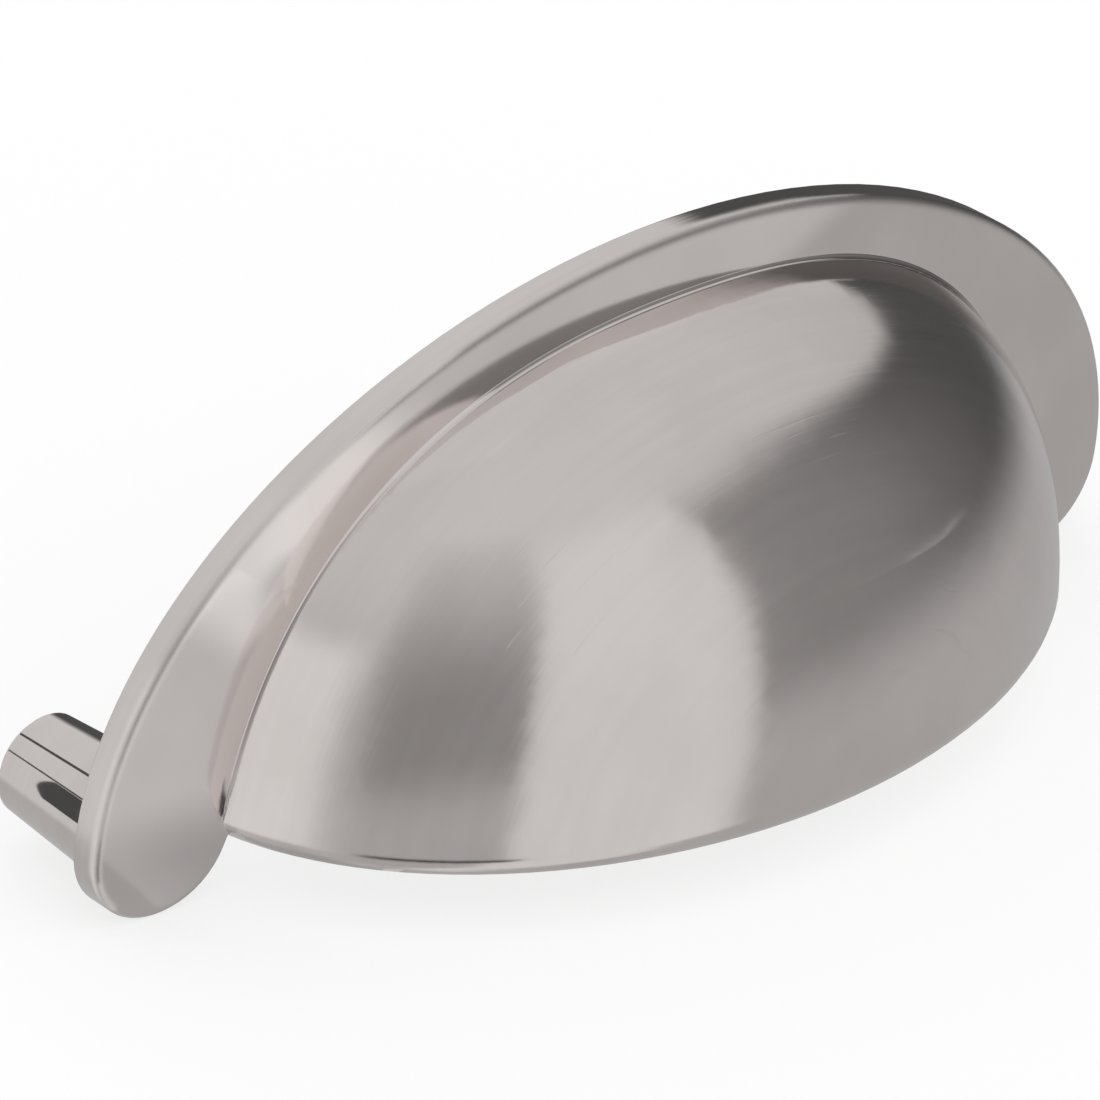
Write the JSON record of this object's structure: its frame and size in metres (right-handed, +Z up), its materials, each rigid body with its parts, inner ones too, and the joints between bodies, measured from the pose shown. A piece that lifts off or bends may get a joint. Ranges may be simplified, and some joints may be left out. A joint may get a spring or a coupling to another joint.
{
  "type": "bin pull",
  "caption": "Cup-shaped drawer pull in satin nickel: half oval flange with rounded ends, hollow finger cup open underneath, and screw posts standing behind.",
  "frame": {"origin": "midway between the two screw holes, on the plane of the post ends that bear on the drawer front", "axes": "+X to the right seen from the front, -Y out of the drawer front towards the user, +Z up; the cup opens downwards"},
  "size_m": [0.086, 0.0298, 0.0327],
  "materials": {
    "satin_nickel": "satin nickel plating on a zinc casting, lightly brushed, brighter on the posts"
  },
  "bodies": {
    "root": {"pull_casting": "satin_nickel"}
  },
  "joints": []
}
